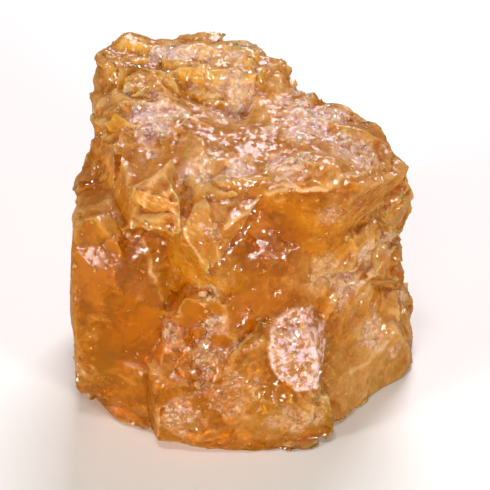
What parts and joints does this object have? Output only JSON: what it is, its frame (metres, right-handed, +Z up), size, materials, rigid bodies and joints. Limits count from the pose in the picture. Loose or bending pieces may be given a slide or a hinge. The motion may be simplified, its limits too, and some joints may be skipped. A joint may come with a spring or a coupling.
{
  "type": "rock sugar lump",
  "caption": "Rough, translucent lump of broken rock sugar, with clear hollow breaks and crusts of small crystals, resting flat on its base.",
  "frame": {"origin": "middle of the lump's base, on the surface that it rests on", "axes": "+Z up; the lump's front, with its clear hollow break, looks along -Y; +X to the right seen from the front"},
  "size_m": [0.043, 0.035, 0.041],
  "materials": {
    "sugar": "translucent amber sugar, glossy on clear breaks and frosted white on crusts"
  },
  "bodies": {
    "root": {"rock_sugar_lump": "sugar"}
  },
  "joints": []
}
